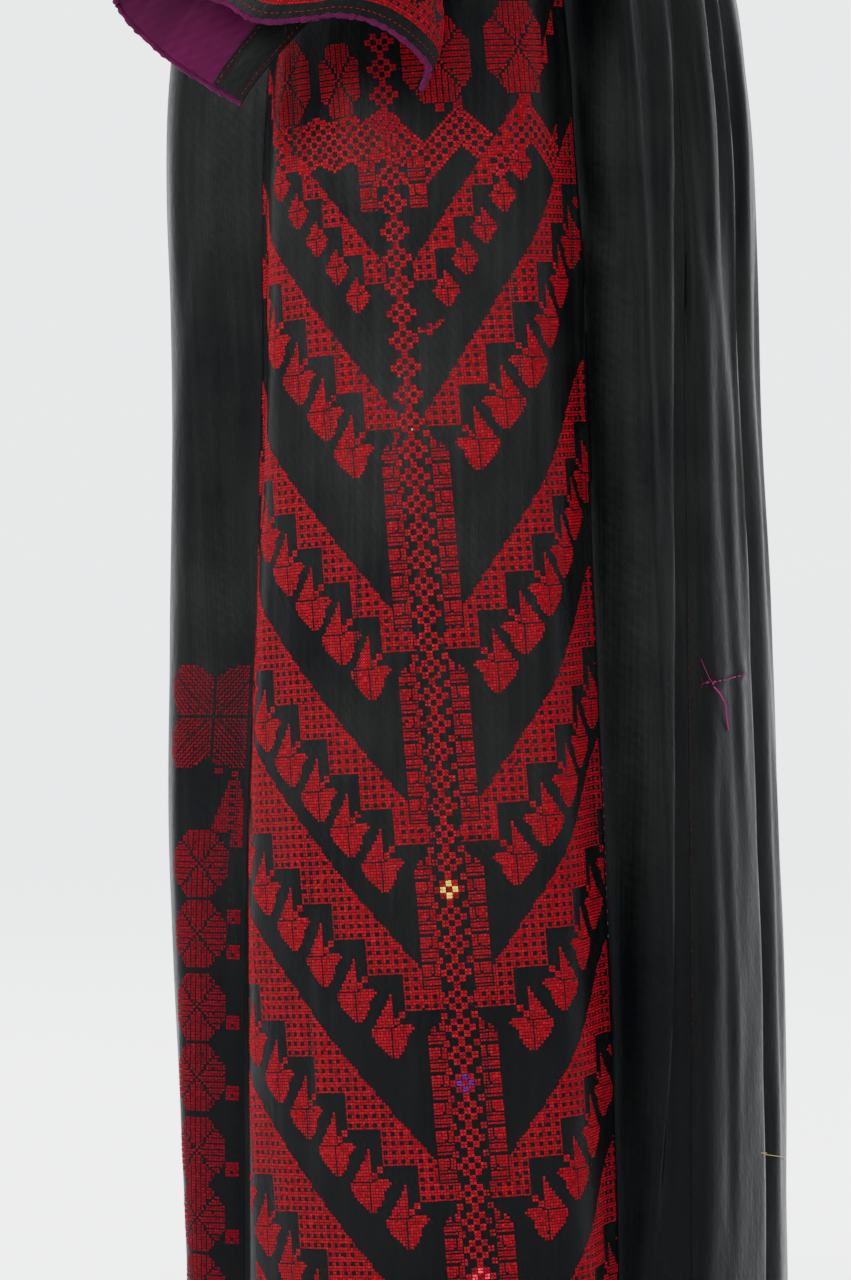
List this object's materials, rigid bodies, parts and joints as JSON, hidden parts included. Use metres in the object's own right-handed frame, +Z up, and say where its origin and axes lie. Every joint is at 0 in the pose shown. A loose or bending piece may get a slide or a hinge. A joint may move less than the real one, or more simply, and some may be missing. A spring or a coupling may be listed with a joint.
{
  "type": "dress",
  "caption": "long loose traditional dress worn by nobody, with round slit neck, half-open slit sleeves and cross-stitched side panels",
  "frame": {"origin": "the middle of the shoulder line, between the two neck ends of the shoulder seams, where the dress hangs from a body or hanger", "axes": "+Z is up, the front faces -Y, and the wearer's left is +X"},
  "size_m": [0.6478, 0.4176, 1.3311],
  "materials": {
    "black_satin": "satin",
    "purple_lining": "satin"
  },
  "bodies": {
    "root": {"back_gore_left": "black_satin", "back_gore_right": "black_satin", "back_panel": "black_satin", "front_panel": "black_satin", "side_panel_left": "black_satin", "side_panel_right": "black_satin", "sleeve_edging_left": "purple_lining", "sleeve_edging_right": "purple_lining", "sleeve_left": "black_satin", "sleeve_lining_left": "purple_lining", "sleeve_lining_right": "purple_lining", "sleeve_right": "black_satin", "slit_facing_left": "black_satin", "slit_facing_right": "black_satin"}
  },
  "joints": []
}
